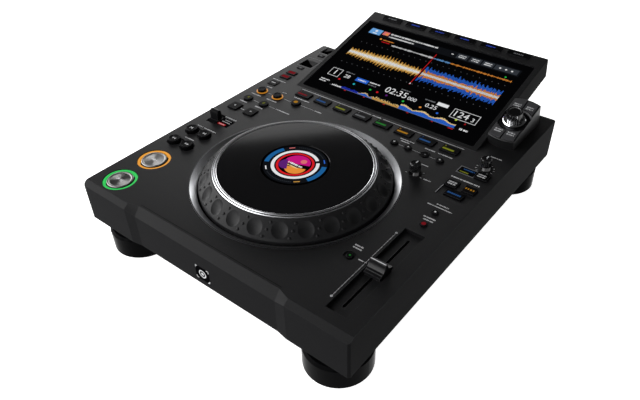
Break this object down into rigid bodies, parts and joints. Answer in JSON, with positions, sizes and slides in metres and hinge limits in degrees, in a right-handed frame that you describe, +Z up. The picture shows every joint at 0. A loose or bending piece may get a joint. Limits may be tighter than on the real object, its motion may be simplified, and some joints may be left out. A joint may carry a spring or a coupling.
{
  "type": "tabletop dj player",
  "caption": "Tabletop player with a dimpled jog wheel round a small display, a tilted touch screen, a long tempo fader, a selector pod and rows of lit keys and knobs.",
  "frame": {"origin": "on the table, under the middle of the whole player", "axes": "+X to the right and +Y to the back as the player is used, +Z up"},
  "size_m": [0.329, 0.453, 0.118],
  "materials": {
    "panel_plastic": "fine textured dark grey",
    "case_steel": "satin black",
    "screw_steel": "zinc plated",
    "foot_rubber": "matte black",
    "clear_glass": "clear, flat",
    "display": "lit display",
    "key_gloss": "gloss black",
    "pod_gloss": "gloss black",
    "knob_metal": "dark anodised",
    "bezel_metal": "polished dark",
    "jog_grip": "soft satin black",
    "trim_chrome": "polished",
    "plate_gloss": "piano black",
    "bearing_steel": "turned",
    "light_ring": "lit from below",
    "start_key_metal": "spun, dark anodised",
    "circuit_board": "green solder mask",
    "socket_plastic": "black",
    "fader_steel": "zinc plated",
    "cap_plastic": "satin black",
    "lever_plastic": "satin black",
    "knob_plastic": "satin black",
    "key_matte": "satin black",
    "key_amber": "lit yellow",
    "key_green": "lit pale green",
    "cue_red": "lit red",
    "cue_blue": "lit blue",
    "cue_lime": "lit lime",
    "cue_white": "lit white",
    "cue_green": "lit green",
    "cue_amber": "lit amber"
  },
  "bodies": {
    "player_body": {"top_panel": "panel_plastic", "bottom_case": "case_steel", "case_screws": "screw_steel", "feet": "foot_rubber", "screen_housing": "panel_plastic", "screen_glass": "clear_glass", "lcd_panel": "display", "selector_pod": "pod_gloss", "jog_bezel": "bezel_metal", "jog_display": "display", "jog_bearing": "bearing_steel", "light_rings": "light_ring", "tempo_fader": "fader_steel", "circuit_boards": "circuit_board", "power_supply": "circuit_board", "sockets": "socket_plastic"},
    "jog_wheel": {"jog_ring": "jog_grip", "jog_plate": "plate_gloss", "jog_trim_ring": "trim_chrome"},
    "beat_jump_back": {"beat_jump_back": "key_matte"},
    "beat_jump_forward": {"beat_jump_forward": "key_matte"},
    "call_back": {"call_back": "key_matte"},
    "call_forward": {"call_forward": "key_matte"},
    "column_keys": {"column_keys": "key_matte"},
    "cue_button": {"cue_button": "start_key_metal"},
    "delete_button": {"delete_button": "key_matte"},
    "direction_lever": {"direction_lever": "lever_plastic"},
    "hot_cue_1": {"hot_cue_1": "cue_red"},
    "hot_cue_2": {"hot_cue_2": "cue_blue"},
    "hot_cue_3": {"hot_cue_3": "cue_lime"},
    "hot_cue_4": {"hot_cue_4": "cue_white"},
    "hot_cue_5": {"hot_cue_5": "cue_green"},
    "hot_cue_6": {"hot_cue_6": "cue_amber"},
    "hot_cue_7": {"hot_cue_7": "cue_blue"},
    "hot_cue_8": {"hot_cue_8": "cue_lime"},
    "jog_adjust_knob": {"jog_adjust_knob": "knob_plastic"},
    "jog_mode_button": {"jog_mode_button": "key_gloss"},
    "key_sync_button": {"key_sync_button": "key_gloss"},
    "loop_eight": {"loop_eight": "key_green"},
    "loop_exit": {"loop_exit": "key_amber"},
    "loop_four": {"loop_four": "key_green"},
    "loop_in": {"loop_in": "key_matte"},
    "loop_out": {"loop_out": "key_matte"},
    "master_button": {"master_button": "key_gloss"},
    "master_tempo_button": {"master_tempo_button": "key_matte"},
    "memory_button": {"memory_button": "key_matte"},
    "play_button": {"play_button": "start_key_metal"},
    "pod_keys": {"pod_keys": "key_gloss"},
    "power_button": {"power_button": "key_matte"},
    "screen_keys": {"screen_keys": "key_gloss"},
    "search_back": {"search_back": "key_matte"},
    "search_forward": {"search_forward": "key_matte"},
    "selector_knob": {"selector_knob": "knob_metal"},
    "sync_button": {"sync_button": "key_gloss"},
    "tempo_range_button": {"tempo_range_button": "key_matte"},
    "tempo_reset_button": {"tempo_reset_button": "key_matte"},
    "tempo_slider": {"tempo_slider": "cap_plastic"},
    "track_back": {"track_back": "key_matte"},
    "track_forward": {"track_forward": "key_matte"},
    "vinyl_speed_knob": {"vinyl_speed_knob": "knob_plastic"}
  },
  "joints": [
    {"name": "jog_spin", "type": "hinge", "parent": "player_body", "child": "jog_wheel", "pos_m": [0, -0.093, 0.079], "axis": [0, 0, 1], "continuous": true},
    {"name": "beat_jump_back_press", "type": "slide", "parent": "player_body", "child": "beat_jump_back", "axis": [0, 0, -1], "range_m": [0, 0.001], "stiffness_N_per_m": 300},
    {"name": "beat_jump_forward_press", "type": "slide", "parent": "player_body", "child": "beat_jump_forward", "axis": [0, 0, -1], "range_m": [0, 0.001], "stiffness_N_per_m": 300},
    {"name": "call_back_press", "type": "slide", "parent": "player_body", "child": "call_back", "axis": [0, 0, -1], "range_m": [0, 0.001], "stiffness_N_per_m": 300},
    {"name": "call_forward_press", "type": "slide", "parent": "player_body", "child": "call_forward", "axis": [0, 0, -1], "range_m": [0, 0.001], "stiffness_N_per_m": 300},
    {"name": "column_keys_press", "type": "slide", "parent": "player_body", "child": "column_keys", "axis": [0, 0, -1], "range_m": [0, 0.001], "stiffness_N_per_m": 1500},
    {"name": "cue_button_press", "type": "slide", "parent": "player_body", "child": "cue_button", "axis": [0, 0, -1], "range_m": [0, 0.0015], "stiffness_N_per_m": 600},
    {"name": "delete_button_press", "type": "slide", "parent": "player_body", "child": "delete_button", "axis": [0, 0, -1], "range_m": [0, 0.001], "stiffness_N_per_m": 300},
    {"name": "direction_rock", "type": "hinge", "parent": "player_body", "child": "direction_lever", "pos_m": [-0.1439, -0.0622, 0.0634], "axis": [1, 0, 0], "range_deg": [-15, 15], "stiffness_Nm_per_rad": 0.6},
    {"name": "hot_cue_1_press", "type": "slide", "parent": "player_body", "child": "hot_cue_1", "axis": [0, 0, -1], "range_m": [0, 0.001], "stiffness_N_per_m": 300},
    {"name": "hot_cue_2_press", "type": "slide", "parent": "player_body", "child": "hot_cue_2", "axis": [0, 0, -1], "range_m": [0, 0.001], "stiffness_N_per_m": 300},
    {"name": "hot_cue_3_press", "type": "slide", "parent": "player_body", "child": "hot_cue_3", "axis": [0, 0, -1], "range_m": [0, 0.001], "stiffness_N_per_m": 300},
    {"name": "hot_cue_4_press", "type": "slide", "parent": "player_body", "child": "hot_cue_4", "axis": [0, 0, -1], "range_m": [0, 0.001], "stiffness_N_per_m": 300},
    {"name": "hot_cue_5_press", "type": "slide", "parent": "player_body", "child": "hot_cue_5", "axis": [0, 0, -1], "range_m": [0, 0.001], "stiffness_N_per_m": 300},
    {"name": "hot_cue_6_press", "type": "slide", "parent": "player_body", "child": "hot_cue_6", "axis": [0, 0, -1], "range_m": [0, 0.001], "stiffness_N_per_m": 300},
    {"name": "hot_cue_7_press", "type": "slide", "parent": "player_body", "child": "hot_cue_7", "axis": [0, 0, -1], "range_m": [0, 0.001], "stiffness_N_per_m": 300},
    {"name": "hot_cue_8_press", "type": "slide", "parent": "player_body", "child": "hot_cue_8", "axis": [0, 0, -1], "range_m": [0, 0.001], "stiffness_N_per_m": 300},
    {"name": "jog_adjust_turn", "type": "hinge", "parent": "player_body", "child": "jog_adjust_knob", "pos_m": [0.1436, 0.0302, 0.079], "axis": [0, 0, 1], "range_deg": [-150, 150]},
    {"name": "jog_mode_button_press", "type": "slide", "parent": "player_body", "child": "jog_mode_button", "axis": [0, 0, -1], "range_m": [0, 0.001], "stiffness_N_per_m": 300},
    {"name": "key_sync_button_press", "type": "slide", "parent": "player_body", "child": "key_sync_button", "axis": [0, 0, -1], "range_m": [0, 0.001], "stiffness_N_per_m": 300},
    {"name": "loop_eight_press", "type": "slide", "parent": "player_body", "child": "loop_eight", "axis": [0, 0, -1], "range_m": [0, 0.001], "stiffness_N_per_m": 300},
    {"name": "loop_exit_press", "type": "slide", "parent": "player_body", "child": "loop_exit", "axis": [0, 0, -1], "range_m": [0, 0.001], "stiffness_N_per_m": 300},
    {"name": "loop_four_press", "type": "slide", "parent": "player_body", "child": "loop_four", "axis": [0, 0, -1], "range_m": [0, 0.001], "stiffness_N_per_m": 300},
    {"name": "loop_in_press", "type": "slide", "parent": "player_body", "child": "loop_in", "axis": [0, 0, -1], "range_m": [0, 0.001], "stiffness_N_per_m": 300},
    {"name": "loop_out_press", "type": "slide", "parent": "player_body", "child": "loop_out", "axis": [0, 0, -1], "range_m": [0, 0.001], "stiffness_N_per_m": 300},
    {"name": "master_button_press", "type": "slide", "parent": "player_body", "child": "master_button", "axis": [0, 0, -1], "range_m": [0, 0.001], "stiffness_N_per_m": 300},
    {"name": "master_tempo_button_press", "type": "slide", "parent": "player_body", "child": "master_tempo_button", "axis": [0, 0, -1], "range_m": [0, 0.001], "stiffness_N_per_m": 300},
    {"name": "memory_button_press", "type": "slide", "parent": "player_body", "child": "memory_button", "axis": [0, 0, -1], "range_m": [0, 0.001], "stiffness_N_per_m": 300},
    {"name": "play_button_press", "type": "slide", "parent": "player_body", "child": "play_button", "axis": [0, 0, -1], "range_m": [0, 0.0015], "stiffness_N_per_m": 600},
    {"name": "pod_keys_press", "type": "slide", "parent": "player_body", "child": "pod_keys", "axis": [0, 0.225, -0.9744], "range_m": [0, 0.001], "stiffness_N_per_m": 1200},
    {"name": "power_press", "type": "slide", "parent": "player_body", "child": "power_button", "axis": [0, -1, 0], "range_m": [0, 0.0015], "stiffness_N_per_m": 300},
    {"name": "screen_keys_press", "type": "slide", "parent": "player_body", "child": "screen_keys", "axis": [0, 0.225, -0.9744], "range_m": [0, 0.0008], "stiffness_N_per_m": 1800},
    {"name": "search_back_press", "type": "slide", "parent": "player_body", "child": "search_back", "axis": [0, 0, -1], "range_m": [0, 0.001], "stiffness_N_per_m": 300},
    {"name": "search_forward_press", "type": "slide", "parent": "player_body", "child": "search_forward", "axis": [0, 0, -1], "range_m": [0, 0.001], "stiffness_N_per_m": 300},
    {"name": "selector_turn", "type": "hinge", "parent": "player_body", "child": "selector_knob", "pos_m": [0.13725, 0.10445, 0.09733], "axis": [0, -0.225, 0.9744], "continuous": true},
    {"name": "sync_button_press", "type": "slide", "parent": "player_body", "child": "sync_button", "axis": [0, 0, -1], "range_m": [0, 0.001], "stiffness_N_per_m": 300},
    {"name": "tempo_range_button_press", "type": "slide", "parent": "player_body", "child": "tempo_range_button", "axis": [0, 0, -1], "range_m": [0, 0.001], "stiffness_N_per_m": 300},
    {"name": "tempo_reset_button_press", "type": "slide", "parent": "player_body", "child": "tempo_reset_button", "axis": [0, 0, -1], "range_m": [0, 0.001], "stiffness_N_per_m": 300},
    {"name": "tempo_slide", "type": "slide", "parent": "player_body", "child": "tempo_slider", "axis": [0, 1, 0], "range_m": [-0.045, 0.045]},
    {"name": "track_back_press", "type": "slide", "parent": "player_body", "child": "track_back", "axis": [0, 0, -1], "range_m": [0, 0.001], "stiffness_N_per_m": 300},
    {"name": "track_forward_press", "type": "slide", "parent": "player_body", "child": "track_forward", "axis": [0, 0, -1], "range_m": [0, 0.001], "stiffness_N_per_m": 300},
    {"name": "vinyl_speed_turn", "type": "hinge", "parent": "player_body", "child": "vinyl_speed_knob", "pos_m": [0.0916, -0.018, 0.079], "axis": [0, 0, 1], "range_deg": [-150, 150]}
  ]
}
